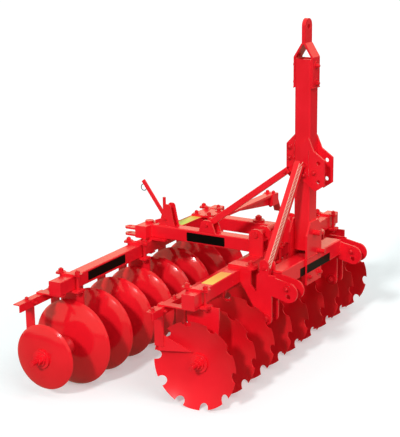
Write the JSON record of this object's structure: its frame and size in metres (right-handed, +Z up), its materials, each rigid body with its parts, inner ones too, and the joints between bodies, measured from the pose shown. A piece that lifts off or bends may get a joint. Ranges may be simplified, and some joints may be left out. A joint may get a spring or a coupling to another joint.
{
  "type": "mounted offset disc harrow",
  "caption": "Mounted offset disc harrow with a notched front gang, a plain rear gang, scrapers, a square-tube frame and a tall hitch mast.",
  "frame": {"origin": "middle of the footprint, on the ground under the discs", "axes": "+Z up, -Y towards the tractor, +X to the far side, along the gangs"},
  "size_m": [2.5034, 1.4868, 2.0539],
  "materials": {
    "red_paint": "gloss",
    "cast_iron_painted": "gloss",
    "pin_steel_painted": "gloss"
  },
  "bodies": {
    "frame": {"frame_beams": "red_paint", "frame_rear_stub": "red_paint", "frame_link_tube": "red_paint", "frame_far_plates": "red_paint", "frame_side_arm": "red_paint", "frame_front_lugs": "red_paint", "frame_lug_shaft": "pin_steel_painted", "frame_stay_lugs": "red_paint", "frame_swing_pin": "pin_steel_painted", "frame_tow_ears": "red_paint", "front_cross_beam": "red_paint", "mast_tube": "red_paint", "mast_foot_plates": "red_paint", "mast_pins": "pin_steel_painted", "top_link_plates": "red_paint", "mast_rear_bracket": "red_paint", "mast_head_straps": "red_paint", "mast_leg": "red_paint", "mast_stay": "red_paint", "hitch_brackets": "red_paint", "hitch_link_plates": "red_paint", "latch_stand": "red_paint", "latch_lever": "red_paint", "latch_pins": "pin_steel_painted", "front_gang_beam": "red_paint", "front_clamps": "red_paint", "front_hangers": "red_paint", "front_bearing_housings": "cast_iron_painted", "front_scraper_bar": "red_paint", "front_scrapers": "red_paint"},
    "rear_gang": {"rear_gang_beam": "red_paint", "rear_clamps": "red_paint", "rear_hangers": "red_paint", "rear_bearing_housings": "cast_iron_painted", "rear_scraper_bar": "red_paint", "rear_scrapers": "red_paint", "rear_sector_plate": "red_paint"},
    "front_rotor": {"front_axle": "pin_steel_painted", "front_discs": "red_paint", "front_spools": "cast_iron_painted", "front_end_fittings": "red_paint"},
    "rear_rotor": {"rear_axle": "pin_steel_painted", "rear_discs": "red_paint", "rear_spools": "cast_iron_painted", "rear_end_fittings": "red_paint"}
  },
  "joints": [
    {"name": "rear_gang_swing", "type": "hinge", "parent": "frame", "child": "rear_gang", "pos_m": [0.03266, 0.46459, 0.661], "axis": [0, 0, 1], "range_deg": [-14, 0]},
    {"name": "front_gang_spin", "type": "hinge", "parent": "frame", "child": "front_rotor", "pos_m": [-0.76434, -0.39141, 0.255], "axis": [0.9986, 0.0523, 0], "continuous": true},
    {"name": "rear_gang_spin", "type": "hinge", "parent": "rear_gang", "child": "rear_rotor", "pos_m": [-0.91334, 0.41259, 0.255], "axis": [0.999, 0.0436, 0], "continuous": true}
  ]
}
